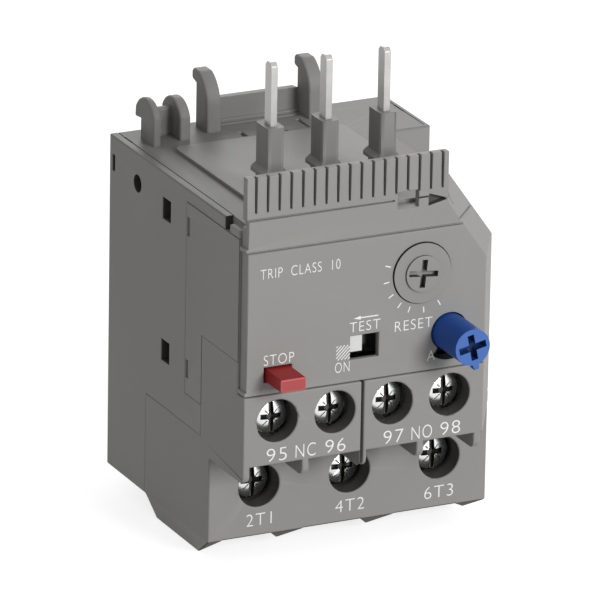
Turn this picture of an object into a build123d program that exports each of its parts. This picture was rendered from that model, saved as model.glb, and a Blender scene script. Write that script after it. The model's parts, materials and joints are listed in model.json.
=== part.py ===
from build123d import *
import math
import os

# Thermal overload relay that plugs under a 45 mm wide contactor.
# While it is modelled, x = 0 is the middle, y = 0 the front cover's face and
# z = 0 the tips of the feet. origin_y moves the parts so that the finished
# relay stands over the origin.

# Outer body
width = 45.0
depth = 46.9
deck_z = 54.6
body_bottom = 3.0
wall = 1.8
half = width / 2

# Front face and the bevel along its right side
cover_right = half - 6.7
bevel_depth = 11.45
corner_deck_x = half - 7.2
corner_side_z = deck_z - 10.1
corner_front_x = half - 13.1
rear_block_y = 32.0

# Front cover
cover_thick = 2.3
cover_seam = 29.2
flank_seam = 20.2
band_line = deck_z - 3.5
comb_line = deck_z + 1.4
groove_width = 0.28
groove_deep = 0.5
seam_gap = 0.2
edge_step = 0.35
edge_lip = 0.6

# Comb that shields the blades
comb_top = deck_z + 7.8
comb_right = half - 13.07
comb_thick = 1.3
comb_slots = 17
comb_first = -half + 1.45
comb_pitch = (comb_right - 0.98 - comb_first) / (comb_slots - 1)
comb_slot = 0.38
comb_slot_deep = 0.9
comb_foot = deck_z + 2.4

# Terminal block
aux_bottom = 18.5
aux_back = 14.5
main_back = 33.4
main_top = 18.6
rib_bottom = 16.0
rib_thick = 1.1
side_step_z = 34.0

# Feet and ridges under the block
foot_front = 15.9
foot_back = 30.4

# Auxiliary terminals 95 to 98
aux_left = -half + 5.35
aux_pitch = (cover_right - 5.4 - aux_left) / 3
aux_x = [aux_left + i * aux_pitch for i in range(4)]
aux_z = 25.1
aux_hole_r = 3.25
aux_pocket = 7.0
aux_pocket_low = 20.3
aux_pocket_high = 28.6
aux_pocket_front = 3.1
aux_pocket_back = 11.4
aux_head_y = 2.1
aux_head_r = 2.65
aux_head_thick = 1.2
aux_shank_r = 1.5
aux_bar_y = 5.3
aux_bar_thick = 0.9
aux_bar_width = 4.0
aux_wire = 4.3
aux_cage = 6.4
aux_cage_wall = 0.8

# Main terminals 2, 4 and 6
main_pitch = (width - 15.8) / 2
main_x = [0.2 + (i - 1) * main_pitch for i in range(3)]
main_z = 10.7
main_hole_r = 3.3
main_pocket = 9.2
main_pocket_low = 5.4
main_pocket_high = 15.6
main_pocket_front = 15.7
main_pocket_back = 27.4
main_head_y = 13.9
main_head_r = 2.8
main_head_thick = 1.9
main_shank_r = 2.0
main_bar_y = 19.6
main_bar_thick = 1.4
main_bar_width = 6.0
main_wire = 4.6
main_cage = 8.4
main_cage_wall = 1.2
main_bar_rise_y = 31.2
main_bar_level = 14.2
main_bar_top = 27.0
thread_gap = 0.06

# Contact blades and their sleeves
blade_x = [-13.3, -4.6, 4.65]
blade_thick = 1.07
blade_deep = 2.0
blade_front = 10.8
blade_top = deck_z + 20.6
blade_arm_low = deck_z - 3.9
blade_arm_high = deck_z - 2.0
blade_arm_back = 27.4
sleeve_wide = 2.73
sleeve_deep = 4.35
sleeve_front = 9.8
sleeve_top = deck_z + 11.1
sleeve_round = 0.6
plinth_out = 0.5
plinth_low = deck_z + 3.7
plinth_top = deck_z + 4.2
plinth_slope = 0.9

# Bimetal strips and heater windings
strip_thick = 0.8
strip_wide = 4.5
strip_front = 22.9
strip_low = 19.4
heater_gap = 0.25
heater_thick = 0.5
heater_high = 0.9
heater_turns = 8
heater_pitch = 2.2
heater_low = 26.0

# Openings in the left wall
side_hole_y = 37.0
side_hole_r = 1.35
latch_front = 25.6
latch_wide = 2.7
latch_high = 3.2

# Hooks at the back of the deck
tall_hook_x = [-9.4, 7.2]
tall_hook_wide = 2.3
tall_hook_front = 41.2
tall_hook_top = deck_z + 8.6
short_hook_x = [-half + 3.2, -half + 8.0]
short_hook_wide = [1.2, 1.7]
short_hook_front = [38.4, 39.6]
short_hook_top = [deck_z + 6.5, deck_z + 5.8]
link_wall_front = 43.0
link_wall_thick = 1.2
link_wall_top = deck_z + 4.3
hook_wall_top = deck_z + 3.8
hook_wall_thick = 1.5
foot_slot_front = 43.8
foot_slot_wide = 0.7
plateau_left = -half + 5.5
plateau_right = corner_front_x + 0.9
plateau_back = 36.4
plateau_rise = 0.5
plateau_round = 1.2
rim_wide = 1.2
right_line = half - 0.8
deck_line = 0.16
deck_line_deep = 0.35
rim_front = 7.0
rim_gap = 1.4

# Dial
dial_x = cover_right - 10.34
dial_z = 44.5
dial_ring_r = 4.7
dial_gap = 0.15
dial_recess = 1.1
dial_disc_out = 0.3
dial_knob_r = 2.75
dial_knob_out = 0.6
dial_shaft_r = 1.5
dial_shaft_end = 10.6
cam_front = 9.6
cam_back = 10.5

# Reset button
reset_x = cover_right - 5.7
reset_z = 34.9
reset_r = 2.75
reset_out = 7.5
reset_travel = 2.0
reset_shaft_r = 1.3
reset_shaft_end = 10.6
reset_flange_r = 3.3
reset_flange_back = 3.0
reset_ring_y = reset_flange_back + reset_travel + 1.2
pointer_slot_r = 4.3
pointer_slot_deg = (-128, -60)

# Stop button
stop_x = -half + 5.3
stop_z = 32.35
stop_wide = 4.0
stop_high = 1.9
stop_stem = 1.1
stop_stem_end = 10.4
stop_flange_back = 3.3
stop_travel = 2.0
stop_out = 3.2 + stop_travel

# Test slider
window_left = -5.75
slider_wide = 2.0
test_travel = 2.2
window_right = window_left + slider_wide + test_travel + 0.35
window_low = 32.7
window_high = 36.35
window_edge = 0.9
slider_low = 33.75
slider_back = 3.4

# Trip mechanism
frame_front = 8.0
frame_thick = 1.4
frame_low = 30.4
frame_right = half - 4.9
shaft_gap = 0.06
bar_low = 18.9
bar_high = 20.9
bar_deep = 2.0
trip_bar_front = 18.4
diff_bar_front = 28.4
pivot_x = half - 6.3
pivot_z = 36.0
pin_r = 1.0
pin_head_r = 1.6
lever_front = 18.4
lever_thick = 2.0
lever_wide = 1.8
lever_arm_left = pivot_x - 10.7
lever_arm_low = 43.3
carrier_travel = 1.1
carrier_front = 14.4
carrier_back = 17.0
carrier_wide = 2.4
carrier_low = 33.0
carrier_bar_low = 41.0
carrier_bar_high = 42.6
guide_back = 17.6
guide_top = 35.0
guide_wall = 0.5
shelf_thick = 1.0
bridge_front = 14.6
bridge_deep = 1.8
bridge_thick = 0.5
pad_thick = 0.2
closed_ear_top = 38.8
open_ear_top = 36.8
ear_front = 13.1
ear_back = 16.8
ear_wide = 3.2
diff_travel = 0.8

slide_gap = 0.2
origin_y = (depth - reset_out) / 2


def block(x0, x1, y0, y1, z0, z1):
    """A box between two corners."""
    size = Box(x1 - x0, y1 - y0, z1 - z0)
    return Pos((x0 + x1) / 2, (y0 + y1) / 2, (z0 + z1) / 2) * size


def rod(x, z, r, y0, y1):
    """A cylinder that lies along y."""
    return Pos(x, (y0 + y1) / 2, z) * (Rot(90, 0, 0) * Cylinder(r, y1 - y0))


def many_sided(x, z, r, y0, y1, sides=16):
    """A prism with flat sides along y, for round pieces that repeat out of sight."""
    outline = Plane.XZ.offset(-y0) * (Pos(x, z) * RegularPolygon(r, sides))
    return extrude(outline, -(y1 - y0))


def side_profile(points, x0, x1):
    """An outline of (y, z) points drawn out along x."""
    outline = Plane.YZ.offset(x0) * make_face(Polyline(*points, close=True))
    return extrude(outline, x1 - x0)


def front_profile(points, y0, y1):
    """An outline of (x, z) points drawn out along y."""
    outline = Plane.XZ.offset(-y0) * make_face(Polyline(*points, close=True))
    return extrude(outline, -(y1 - y0))


def above(a, b, c, inset=0.0):
    """All that lies outside the plane through three points, seen anticlockwise from outside."""
    a, b, c = Vector(*a), Vector(*b), Vector(*c)
    normal = (b - a).cross(c - a).normalized()
    plane = Plane(origin=a - normal * inset, x_dir=(b - a), z_dir=normal)
    big = 6 * width
    return plane.location * Pos(0, 0, big / 2) * Box(big, big, big)


def body_form(inset=0.0):
    """The relay's outer form, or the same form with every face moved in."""
    form = block(-half + inset, half - inset, inset, depth - inset,
                 body_bottom + inset, deck_z - inset)
    flank = above((cover_right, 0, 0), (half, bevel_depth, 0), (half, bevel_depth, 1), inset)
    top_corner = above((corner_front_x, 0, deck_z), (half, bevel_depth, corner_side_z),
                       (corner_deck_x, bevel_depth, deck_z), inset)
    run = (half - corner_deck_x, deck_z - corner_side_z)
    shift = inset * math.hypot(*run)
    corner = front_profile([(corner_deck_x - shift / run[1], deck_z),
                            (half + width, deck_z),
                            (half + width, corner_side_z - shift / run[0]),
                            (half, corner_side_z - shift / run[0])],
                           -1, rear_block_y + inset)
    return form - flank - top_corner - corner


outer_form = body_form()
inner_form = body_form(wall)

# Space that the terminal block takes, seen from the side
block_space = side_profile([(-1, -1), (-1, cover_seam), (cover_thick, cover_seam),
                            (aux_back, cover_seam), (aux_back, main_top),
                            (main_back, main_top), (main_back, -1)], -half - 1, half + 1)
skirt_space = block(-half - 1, -half + wall, cover_thick, aux_back,
                    cover_seam, side_step_z)

# Space that the front cover takes: its plate and the wrap along the bevel
plate_space = block(-half - 1, half + 1, -1, cover_thick, cover_seam, deck_z + 1)
wrap_space = block(corner_front_x + 2, half + 1, -1, bevel_depth, cover_seam, deck_z + 1)
cover_space = plate_space + wrap_space

# Space that the snap-in side cover takes
panel_back = 20.0
panel_low = 23.4
panel_top = deck_z - 2.0
panel_thick = 1.2
panel_space = (block(-half - 1, -half + panel_thick, cover_thick, panel_back,
                     panel_low, panel_top)
               - block_space - skirt_space)


def ridge(x_left, x_tip, x_right, tip_z):
    """A V-shaped wire guide under the block, with its ends sloped as seen from the side."""
    v = front_profile([(x_left, body_bottom), (x_tip, tip_z), (x_right, body_bottom)],
                      bevel_depth, main_back)
    side = side_profile([(bevel_depth, body_bottom), (foot_front, 0), (foot_back, 0),
                         (main_back - 0.3, body_bottom)], -half, half)
    return v & side


def make_rear_housing():
    """Shell with the deck, the back and right walls and the hooks."""
    shell = outer_form - inner_form - block_space - skirt_space - cover_space - panel_space
    # plateau that the sleeves stand on
    plateau = block(plateau_left, plateau_right, cover_thick, plateau_back,
                    deck_z - wall / 2, deck_z + plateau_rise)
    shell += fillet(plateau.edges().filter_by(Axis.Z).sort_by(Axis.Y)[2:], plateau_round)
    for x in tall_hook_x:
        shell += tall_hook(x)
    for x, wide, front, top in zip(short_hook_x, short_hook_wide, short_hook_front, short_hook_top):
        shell += short_hook(x, wide, front, top)
    shell += block(short_hook_x[0] + short_hook_wide[0], short_hook_x[1], link_wall_front,
                   link_wall_front + link_wall_thick, deck_z - 0.1, link_wall_top)
    inner_left, inner_right = tall_hook_x[0] + tall_hook_wide, tall_hook_x[1]
    wall_front = depth - hook_wall_thick
    shell += block(inner_left, inner_right, wall_front, depth, deck_z - 0.1, hook_wall_top)
    shell += block(inner_left, inner_right, wall_front - 0.4, depth, deck_z - 0.1, deck_z + 0.5)
    shell -= block(inner_left, inner_right, foot_slot_front, foot_slot_front + foot_slot_wide,
                   deck_z - 1, deck_z + 0.3)
    # holes that the blades pass through
    for x in blade_x:
        shell -= block(x - blade_thick / 2, x + blade_thick / 2,
                       blade_front, blade_front + blade_deep, deck_z - 3, deck_z + 1)
    # gap in the left rim, with a lower piece in front of it
    left = -half + rim_wide
    gap_front = rim_front - rim_gap
    shell -= block(-half - 1, left, gap_front, rim_front, deck_z - 2.2, deck_z + 1)
    shell -= block(-half - 1, left, cover_thick, gap_front + 0.1, deck_z - 0.7, deck_z + 1)
    # openings in the left wall
    deep = -half + wall + 1
    shell -= Pos(-half, side_hole_y, deck_z - 4.6) * (Rot(0, 90, 0) * Cylinder(side_hole_r, 2 * wall + 2))
    for low in (deck_z - 7.1, 25.7):
        shell -= block(-half - 1, deep, latch_front, latch_front + latch_wide, low, low + latch_high)
    shell -= block(-half - 1, -half + 0.6, depth - 1.8, depth - 1.0, deck_z - 5.3, deck_z - 2.9)
    # lines that part the rims from the deck, and the slots in the deck
    line_low = deck_z - deck_line_deep
    shell -= block(left, left + deck_line, rim_front - 0.1, depth + 1, line_low, deck_z + 1)
    shell -= block(right_line, right_line + deck_line, rear_block_y + 0.6, depth + 1, line_low, deck_z + 1)
    slot_low = deck_z - 1.0
    shell -= block(left - 0.05, left + 0.25, 41.5, 44.5, slot_low, deck_z + 1)
    shell -= block(right_line - 0.1, right_line + 0.2, 39.4, 42.6, slot_low, deck_z + 1)
    shell -= block(-5.0, -4.3, 38.2, 40.2, slot_low, deck_z + 1)
    shell -= block(1.75, 2.15, 37.9, 38.4, slot_low, deck_z + 1)
    shell -= block(5.5, 5.9, 38.2, 42.2, slot_low, deck_z + 1)
    # ribs that part the heater chambers
    for x in (-9.0, 0.0):
        shell += block(x - 0.6, x + 0.6, 38.0, depth - wall, main_top + 1, deck_z - wall)
    return shell


def tall_hook(x):
    """Hook with a flat top, a barb towards the back and a rounded front shoulder."""
    floor = deck_z - 0.1
    top = tall_hook_top
    foot = tall_hook_front
    shaft_back = depth - 1.4
    rise = Line((foot, floor), (foot + 0.2, top - 4.8))
    shoulder = ThreePointArc((foot + 0.2, top - 4.8), (foot + 1.2, top - 1.7), (foot + 3.4, top))
    barb = Polyline((foot + 3.4, top), (depth - 0.4, top), (depth, top - 0.4), (depth, top - 1.7),
                    (shaft_back, top - 2.1), (shaft_back, floor), (foot, floor))
    return extrude(Plane.YZ.offset(x) * make_face(rise + shoulder + barb), tall_hook_wide)


def short_hook(x, wide, front, top):
    """Low hook with a round head and a barb towards the back."""
    floor = deck_z - 0.1
    back = front + 4.9
    rise = Line((front, floor), (front, top - 2.4))
    head = ThreePointArc((front, top - 2.4), (front + 2.9, top), (front + 6.7, top - 1.9))
    barb = Polyline((front + 6.7, top - 1.9), (front + 6.9, top - 3.7), (back, top - 3.5),
                    (back, floor), (front, floor))
    return extrude(Plane.YZ.offset(x) * make_face(rise + head + barb), wide)


def make_side_cover():
    """Snap-in cover in the left wall, with two latch slots."""
    panel = panel_space & outer_form
    panel -= block(-half - 1, -half + 0.4, panel_back - 1.0, panel_back + 1, 47.6, 50.4)
    panel -= block(-half - 1, -half + 0.4, panel_back - 1.0, panel_back + 1, 25.9, 28.6)
    return panel


def make_front_cover():
    """Face plate with the comb, the windows and the wrap along the bevel."""
    inner = inner_form - block(-half, half, 0, cover_thick, 0, deck_z)
    cover = (outer_form - inner) & cover_space
    cover += block(-half, comb_right, 0, comb_thick, deck_z - 1, comb_top)
    for i in range(comb_slots):
        x = comb_first + i * comb_pitch
        cover -= block(x - comb_slot / 2, x + comb_slot / 2, -1, comb_slot_deep,
                       comb_foot, comb_top + 1)
    # lines across the face, along the seam and up the bevel
    skin = outer_form - body_form(groove_deep)
    for z, right in ((comb_line, half - 21.6), (band_line, half - 10.1)):
        cover -= block(-half - 1, right, -1, groove_deep, z - groove_width / 2, z + groove_width / 2)
    cover -= skin & block(-half - 1, half + 1, -1, bevel_depth, cover_seam - 1, cover_seam + seam_gap)
    line_start = (half - 11.2, deck_z - 2.6)
    line_end = (half - 3.1, deck_z - 5.35)
    cover -= skin & front_profile([line_start, (line_start[0], line_start[1] - groove_width),
                                   (line_end[0], line_end[1] - groove_width), line_end], -1, bevel_depth)
    # the left edge steps in between its lips
    step = -half + edge_step
    cover -= block(-half - 1, step, -1, cover_thick + 1, band_line + edge_lip, comb_line)
    cover -= block(-half - 1, step, -1, cover_thick + 1, cover_seam + seam_gap + edge_lip, band_line)
    # marker window and its pointer at the foot of the comb
    marker = comb_right - 8.1
    cover -= block(marker, marker + 3.4, -1, cover_thick + 1, deck_z, comb_foot + 0.2)
    cover -= block(marker + 3.3, marker + 5.0, -1, groove_deep, deck_z + 1.2, deck_z + 1.45)
    cover -= front_profile([(marker + 5.0, deck_z - 0.1), (marker + 8.2, deck_z + 0.6),
                            (marker + 5.0, deck_z + 1.8)], -1, 1.1)
    # recess and hole of the dial
    cover -= rod(dial_x, dial_z, dial_ring_r, -1, dial_recess)
    cover -= rod(dial_x, dial_z, dial_shaft_r + slide_gap, -1, cover_thick + 1)
    # reset button, with the arc that its pointer runs in
    cover -= rod(reset_x, reset_z, reset_r + slide_gap, -1, cover_thick + 1)
    cover -= pointer_arc(-1, cover_thick + 1)
    # stop button
    cover -= block(stop_x - stop_wide / 2 - slide_gap, stop_x + stop_wide / 2 + slide_gap, -1,
                   cover_thick + 1, stop_z - stop_high / 2 - slide_gap, stop_z + stop_high / 2 + slide_gap)
    # test window, with a thin edge
    cover -= block(window_left, window_right, -1, cover_thick + 1, window_low, window_high)
    cover -= block(window_left - 0.5, window_right + 0.5, window_edge, cover_thick + 1,
                   window_low - 0.5, window_high + 0.5)
    return cover


def pointer_arc(y0, y1):
    """Ring sector below the reset button, from its manual to its automatic position."""
    ring = rod(reset_x, reset_z, pointer_slot_r, y0, y1)
    ring -= rod(reset_x, reset_z, reset_r - 0.2, y0 - 1, y1 + 1)
    reach = 2 * pointer_slot_r
    ends = [(reset_x + reach * math.cos(math.radians(a)), reset_z + reach * math.sin(math.radians(a)))
            for a in pointer_slot_deg]
    return ring & front_profile([(reset_x, reset_z)] + ends, y0, y1)


def make_terminal_block():
    """Stepped block that holds the seven clamps."""
    form = outer_form & block_space
    skirt = (outer_form - inner_form) & skirt_space
    body = form - block(-half - 1, half + 1, -1, aux_back, -1, aux_bottom)
    body += form & block(-half - 1, half + 1, bevel_depth, main_back, -1, main_top)
    body += skirt
    # ribs between the wire entries of the auxiliary terminals
    for x in [-half + rib_thick / 2] + [x + aux_pitch / 2 for x in aux_x]:
        nose = ThreePointArc((0, rib_bottom + 1.3), (0.4, rib_bottom + 0.4), (1.3, rib_bottom))
        rest = Polyline((1.3, rib_bottom), (bevel_depth, rib_bottom), (bevel_depth, aux_bottom + 1),
                        (0, aux_bottom + 1), (0, rib_bottom + 1.3))
        body += extrude(Plane.YZ.offset(x - rib_thick / 2) * make_face(nose + rest), rib_thick)
    # gap between the two pairs
    gap_x = (aux_x[1] + aux_x[2]) / 2 - 0.25
    body -= block(gap_x - 0.25, gap_x + 0.25, -1, 2.2, rib_bottom, cover_seam + 1)
    # line round the flank, level with the main terminals' top
    flank_skin = form - body_form(groove_deep)
    flank_skin &= block(cover_right + 0.3, half + 1, -1, bevel_depth, 0, deck_z)
    body -= flank_skin & block(-half, half + 1, -1, bevel_depth, flank_seam, flank_seam + seam_gap)
    # ridges underneath
    body += ridge(main_x[0] + 2.1, main_x[0] + 4.4, main_x[0] + 7.3, 0.9)
    body += ridge(main_x[1] + 2.1, main_x[1] + 4.4, main_x[1] + 7.3, 0.8)
    body += ridge(main_x[2] + 2.8, main_x[2] + 5.2, half, 1.4)
    body += ridge(-half, -half + 0.6, -half + 2.3, 0.0)
    for x in aux_x:
        body -= rod(x, aux_z, aux_hole_r, -1, aux_pocket_front)
        body -= block(x - aux_pocket / 2, x + aux_pocket / 2, aux_pocket_front, aux_pocket_back,
                      aux_pocket_low, aux_pocket_high)
        entry = aux_bar_y + aux_bar_thick
        body -= block(x - 2.5, x + 2.5, entry, entry + aux_wire, rib_bottom - 1, aux_pocket_low + 1)
        body -= block(x - aux_bar_width / 2, x + aux_bar_width / 2, aux_bar_y, aux_bar_y + aux_bar_thick,
                      aux_pocket_high - 1, cover_seam + 1)
    for x in main_x:
        body -= rod(x, main_z, main_hole_r, bevel_depth - 1, main_pocket_front)
        body -= block(x - main_pocket / 2, x + main_pocket / 2, main_pocket_front, main_pocket_back,
                      main_pocket_low, main_pocket_high)
        entry = main_bar_y + main_bar_thick
        body -= block(x - 3.0, x + 3.0, entry, entry + main_wire, -1, main_pocket_low + 1)
        body -= block(x - main_bar_width / 2, x + main_bar_width / 2, main_pocket_back - 1,
                      main_bar_rise_y + main_bar_thick, main_bar_level, main_bar_level + main_bar_thick)
        body -= block(x - main_bar_width / 2, x + main_bar_width / 2, main_bar_rise_y,
                      main_bar_rise_y + main_bar_thick, main_bar_level, main_top + 1)
    return body


def cross_slot(x, z, y, across, upright, arm, deep):
    """Cross recess for a screwdriver, with the half lengths of its two arms."""
    slot = block(x - across, x + across, y - 1, y + deep, z - arm / 2, z + arm / 2)
    return slot + block(x - arm / 2, x + arm / 2, y - 1, y + deep, z - upright, z + upright)


def make_screw(x, z, head_y, head_r, head_thick, shank_r, tip_y):
    """Terminal screw: pan head with a sloped rim, a cross recess and a plain shank."""
    slope = 0.35 * head_thick
    head = rod(x, z, head_r, head_y + slope, head_y + head_thick)
    head += Pos(x, head_y + slope / 2, z) * (Rot(90, 0, 0) * Cone(head_r, head_r - 1.6 * slope, slope))
    head += many_sided(x, z, shank_r, head_y + head_thick, tip_y)
    return head - cross_slot(x, z, head_y, 0.62 * head_r, head_r + 1, 0.3 * head_r, 0.6 * head_thick)


def make_cage(x, z, front, wall_thick, wide, high, wire, bar_thick, hole_r, gap):
    """Lift clamp: a square tube round the bar, threaded at the front."""
    inner = bar_thick + wire + 2 * gap
    back = front + 2 * wall_thick + inner
    cage = block(x - wide / 2, x + wide / 2, front, back, z - high / 2, z + high / 2)
    cage -= block(x - wide / 2 + wall_thick, x + wide / 2 - wall_thick,
                  front + wall_thick, back - wall_thick, z - high, z + high)
    return cage - many_sided(x, z, hole_r, front - 1, front + wall_thick + 0.5)


def make_aux_bar(x, closed):
    """Fixed contact: up out of the clamp, back over the block and up to its ear."""
    w, e, t = aux_bar_width / 2, ear_wide / 2, aux_bar_thick
    over_block = cover_seam + 0.15
    ear_top = closed_ear_top if closed else open_ear_top
    bar = block(x - w, x + w, aux_bar_y, aux_bar_y + t, aux_z - 3.2, over_block + 0.85)
    bar += block(x - w, x + w, aux_bar_y, ear_front + t, over_block, over_block + 0.85)
    bar += block(x - e, x + e, ear_front, ear_front + t, over_block, ear_top)
    return bar + block(x - e, x + e, ear_front, ear_back, ear_top - 0.8, ear_top)


def make_main_bar(x):
    """Bar from the clamp back through the block and up to the heater."""
    w, t = main_bar_width / 2, main_bar_thick
    bar = block(x - w, x + w, main_bar_y, main_bar_y + t, main_z - 4.6, main_bar_level + t)
    bar += block(x - w, x + w, main_bar_y, main_bar_rise_y + t, main_bar_level, main_bar_level + t)
    return bar + block(x - w, x + w, main_bar_rise_y, main_bar_rise_y + t, main_bar_level, main_bar_top)


def make_blade(x):
    """Blade with a rounded tip; inside it turns back along an arm to the strip."""
    t = blade_thick / 2
    back = blade_front + blade_deep
    up = block(x - t, x + t, blade_front, back, blade_arm_low, blade_top)
    tips = up.edges().filter_by(Axis.X).group_by(Axis.Z)[-1]
    up = chamfer(tips, 0.55)
    return up + block(x - t, x + t, back, blade_arm_back, blade_arm_low, blade_arm_high)


def make_sleeve(x):
    """Insulating sleeve with rounded edges and a flared skirt above the deck."""
    y_mid = sleeve_front + sleeve_deep / 2
    stem = block(x - sleeve_wide / 2, x + sleeve_wide / 2, sleeve_front,
                 sleeve_front + sleeve_deep, deck_z + plateau_rise, sleeve_top)
    stem = fillet(stem.edges().filter_by(Axis.Z), sleeve_round)
    skirt_wide = sleeve_wide + 2 * plinth_out
    skirt_deep = sleeve_deep + 2 * plinth_out
    low = Pos(x, y_mid, plinth_top) * Rectangle(skirt_wide, skirt_deep)
    high = Pos(x, y_mid, plinth_top + plinth_slope) * Rectangle(sleeve_wide - 0.3, sleeve_deep - 0.3)
    skirt = extrude(low, plinth_low - plinth_top) + loft([low.face(), high.face()])
    return stem + skirt - block(x - blade_thick / 2, x + blade_thick / 2, blade_front,
                          blade_front + blade_deep, deck_z - 1, sleeve_top + 1)


def make_strip(x):
    """Bimetal strip that hangs beside the blade's arm."""
    left = x + blade_thick / 2
    return block(left, left + strip_thick, strip_front, strip_front + strip_wide,
                 strip_low, blade_arm_high)


def make_heater(x):
    """Flat wire wound round the strip in rising turns, with a lead to the terminal bar."""
    left = x + blade_thick / 2 - heater_gap - heater_thick
    right = x + blade_thick / 2 + strip_thick + heater_gap + heater_thick
    front = strip_front - heater_gap - heater_thick
    back = strip_front + strip_wide + heater_gap + heater_thick
    t = heater_thick
    coil = None
    for i in range(heater_turns):
        z = heater_low + i * heater_pitch
        turn = block(left, left + t, front, back, z, z + heater_high)
        turn += block(left, right, front, front + t, z, z + heater_high)
        turn += block(right - t, right, front, back, z, z + heater_high)
        if i < heater_turns - 1:
            turn += block(right - t, right, back - t, back, z, z + heater_pitch)
            turn += block(left, right, back - t, back, z + heater_pitch, z + heater_pitch + heater_high)
        coil = turn if coil is None else coil + turn
    coil += block(left, right, back - t, back, heater_low, heater_low + heater_high)
    return coil + block(left, right, back - t, main_bar_rise_y, heater_low - 0.9, heater_low + heater_high)


def make_dial():
    """Setting dial: a disc that stands proud of the cover, a boss with a cross slot, and its shaft."""
    back = dial_recess - slide_gap / 2
    dial = rod(dial_x, dial_z, dial_ring_r - dial_gap, -dial_disc_out, back)
    dial += rod(dial_x, dial_z, dial_knob_r, -dial_knob_out, 0)
    dial += rod(dial_x, dial_z, dial_shaft_r, back, dial_shaft_end)
    slot = cross_slot(dial_x, dial_z, -dial_knob_out, 2.3, 2.1, 0.85, 1.1)
    return dial - Pos(dial_x, 0, dial_z) * Rot(0, 6, 0) * Pos(-dial_x, 0, -dial_z) * slot


def make_cam():
    """Snail cam on the dial's shaft that moves the lever's working point."""
    steps = 12
    outline = []
    for i in range(steps):
        turn = 2 * math.pi * i / steps
        reach = 2.6 + 1.2 * i / (steps - 1)
        outline.append((dial_x + reach * math.cos(turn), dial_z + reach * math.sin(turn)))
    return front_profile(outline, cam_front, cam_back) - rod(dial_x, dial_z, dial_shaft_r,
                                                             cam_front - 1, cam_back + 1)


def make_reset_button():
    """Round button with a pointer, a cross slot and a shaft."""
    button = rod(reset_x, reset_z, reset_r, -reset_out, reset_flange_back)
    button += rod(reset_x, reset_z, reset_flange_r, cover_thick + slide_gap, reset_flange_back)
    button += rod(reset_x, reset_z, reset_shaft_r, reset_flange_back, reset_shaft_end)
    foot, tip = reset_z - reset_r + 0.3, reset_z - reset_r - 0.75
    nub = front_profile([(reset_x - 0.75, foot), (reset_x - 0.45, tip),
                         (reset_x + 0.45, tip), (reset_x + 0.75, foot)],
                        -reset_out, -reset_out + 1.3)
    spin = Pos(reset_x, 0, reset_z) * Rot(0, -12, 0) * Pos(-reset_x, 0, -reset_z)
    button += spin * nub
    return button - spin * cross_slot(reset_x, reset_z, -reset_out, 2.15, 1.95, 0.9, 1.4)


def make_reset_ring():
    """Selector ring that turns with the button and lets its shaft slide through."""
    ring = many_sided(reset_x, reset_z, 3.4, reset_ring_y, frame_front - slide_gap / 2, 8)
    return ring - rod(reset_x, reset_z, reset_shaft_r + shaft_gap, reset_ring_y - 1, frame_front + 1)


def coil_spring(r, length, turns, wire, steps=10):
    """Compression spring that stands on z = 0, of square wire laid in short straight steps."""
    rise = length - 2.6 * wire
    count = round(turns * steps)
    points = [(r * math.cos(2 * math.pi * i / steps), r * math.sin(2 * math.pi * i / steps),
               1.3 * wire + rise * i / count) for i in range(count + 1)]
    line = Polyline(*points)
    return sweep(Plane(origin=line @ 0, z_dir=line % 0) * Rectangle(2 * wire, 2 * wire), path=line,
                 transition=Transition.RIGHT)


def spring(x, z, r, y0, y1, turns, wire=0.22):
    """Compression spring along y between two seats."""
    return Pos(x, y1, z) * (Rot(90, 0, 0) * coil_spring(r, y1 - y0, turns, wire))


def make_stop_button():
    """Square button with a flange behind the cover and a stem."""
    w, h = stop_wide / 2, stop_high / 2
    button = block(stop_x - w, stop_x + w, -stop_out, cover_thick + slide_gap, stop_z - h, stop_z + h)
    button += block(stop_x - w - 0.6, stop_x + w + 0.6, cover_thick + slide_gap, stop_flange_back,
                    stop_z - h - 0.5, stop_z + h + 0.5)
    stem = stop_stem / 2
    return button + block(stop_x - stem, stop_x + stem, stop_flange_back, stop_stem_end,
                          stop_z - stem, stop_z + stem)


def make_test_slider():
    """White slider in the window, on a runner behind the cover."""
    left = window_left + 0.1
    slider = block(left, left + slider_wide, 0.5, cover_thick + slide_gap, slider_low, window_high - 0.15)
    return slider + block(left - 0.9, left + slider_wide, cover_thick + slide_gap, slider_back,
                          slider_low, window_high + 0.6)


def make_mechanism_frame():
    """Inner plate that carries the shafts, guides and the lever's pivot."""
    front, back = frame_front, frame_front + frame_thick
    frame = block(-half + wall, frame_right, front, back, frame_low, deck_z - wall) & inner_form
    frame -= rod(dial_x, dial_z, dial_shaft_r + shaft_gap, front - 1, back + 1)
    frame -= rod(reset_x, reset_z, reset_shaft_r + shaft_gap, front - 1, back + 1)
    guide = stop_stem / 2 + shaft_gap
    frame -= block(stop_x - guide, stop_x + guide, front - 1, back + 1, stop_z - guide, stop_z + guide)
    # tongue behind the test slider
    frame += block(-3.1, -1.6, slider_back + slide_gap, front, window_low + 0.8, window_high - 0.35)
    # shelves and posts that guide the contact carrier
    inner = carrier_wide / 2 + slide_gap
    outer = inner + guide_wall
    for x in carrier_stems:
        frame += block(x - outer, x + outer, back, guide_back, frame_low - shelf_thick, frame_low)
        frame += block(x - outer, x + outer, back, back + 0.6, frame_low - shelf_thick, frame_low + 1)
        frame += block(x - outer, x - inner, carrier_front, guide_back, frame_low, guide_top)
        frame += block(x + inner, x + outer, carrier_front, guide_back, frame_low, guide_top)
    # post for the pivot pin
    post = pin_r + 0.35
    post_back = lever_front - slide_gap
    frame += block(pivot_x - post, pivot_x + post, back, post_back, pivot_z - post, pivot_z + post)
    frame -= rod(pivot_x, pivot_z, pin_r, back, post_back + 1)
    return frame


carrier_stems = [(aux_x[0] + aux_x[1]) / 2, (aux_x[2] + aux_x[3]) / 2]


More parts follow.
